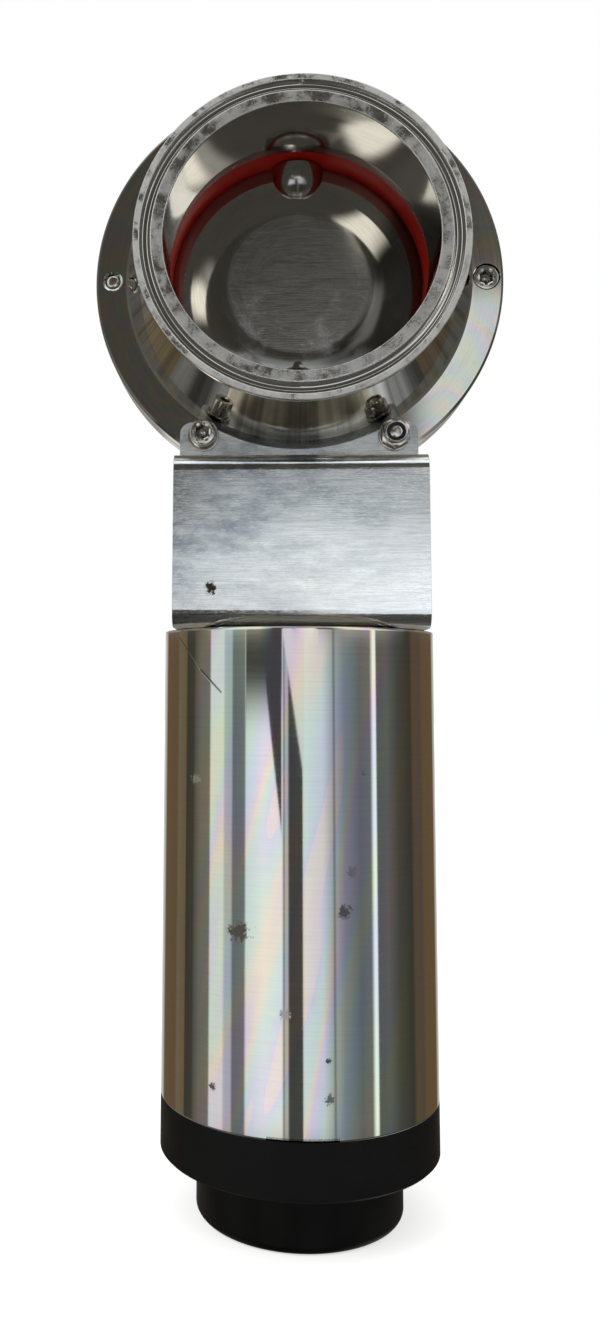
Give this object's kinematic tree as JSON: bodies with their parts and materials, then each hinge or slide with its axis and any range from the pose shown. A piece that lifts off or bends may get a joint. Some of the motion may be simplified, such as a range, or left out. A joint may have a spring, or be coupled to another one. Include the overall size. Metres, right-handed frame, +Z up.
{
  "type": "pneumatic butterfly valve",
  "caption": "Hygienic butterfly valve with clamp ferrules, a red seal and a spring-return air actuator on a folded bracket below it.",
  "frame": {"origin": "centre of the lower cap's base, on the common axis of stem and actuator", "axes": "+Z up along the stem axis, Y along the pipe with the face that the picture shows towards -Y, X across the pipe"},
  "size_m": [0.158, 0.1086, 0.4249],
  "materials": {
    "polished_stainless": "polished",
    "bracket_sheet": "satin",
    "turned_steel": "turned",
    "stainless_fasteners": "satin",
    "spring_steel": "drawn wire",
    "red_silicone": "semi-gloss",
    "black_nitrile": "matt",
    "bronze": "turned",
    "sintered_bronze": "porous",
    "cast_aluminium": "turned casting",
    "white_plastic": "satin",
    "black_acetal": "turned, matt",
    "blue_nylon": "satin",
    "black_nylon": "moulded, satin"
  },
  "bodies": {
    "root": {"front_body_half": "polished_stainless", "rear_body_half": "polished_stainless", "seal_ring": "red_silicone", "stem_bush_upper": "white_plastic", "stem_bush_lower": "white_plastic", "flange_screws": "stainless_fasteners", "bracket_bolts": "stainless_fasteners", "bracket_nuts": "stainless_fasteners", "nut_inserts": "blue_nylon", "bracket_washers": "stainless_fasteners", "bracket": "bracket_sheet", "mount_screws": "stainless_fasteners", "mount_washers": "stainless_fasteners", "actuator_tube": "polished_stainless", "top_cover": "turned_steel", "vent_plug": "sintered_bronze", "shaft_bush_upper": "bronze", "shaft_bush_lower": "bronze", "thrust_washer": "white_plastic", "guide_sleeve": "turned_steel", "guide_screws": "stainless_fasteners", "return_spring": "spring_steel", "end_cover": "black_acetal", "cover_o_ring": "black_nitrile", "cover_rod_seal": "black_nitrile", "lock_wire": "spring_steel", "lower_cap": "black_nylon"},
    "piston_assembly": {"piston": "cast_aluminium", "piston_seal": "black_nitrile", "piston_guide_band": "white_plastic", "piston_rod_seal": "black_nitrile", "cross_pin": "turned_steel", "cam_followers": "turned_steel", "guide_followers": "turned_steel"},
    "disc_assembly": {"disc": "polished_stainless", "coupling": "turned_steel", "coupling_screws": "stainless_fasteners", "drive_shaft": "turned_steel", "cam_sleeve": "turned_steel", "lower_rod": "turned_steel"}
  },
  "joints": [
    {"name": "disc_turn", "type": "hinge", "parent": "root", "child": "disc_assembly", "pos_m": [0, 0, 0.3459], "axis": [0, 0, 1], "range_deg": [0, 90]},
    {"name": "piston_slide", "type": "slide", "parent": "root", "child": "piston_assembly", "axis": [0, 0, 1], "range_m": [0, 0.03], "stiffness_N_per_m": 27300, "springref_m": -0.03, "deforming": ["return_spring"]}
  ],
  "couplings": [
    {"joint": "disc_turn", "follows": "piston_slide", "rad_per_m": 52.36}
  ]
}
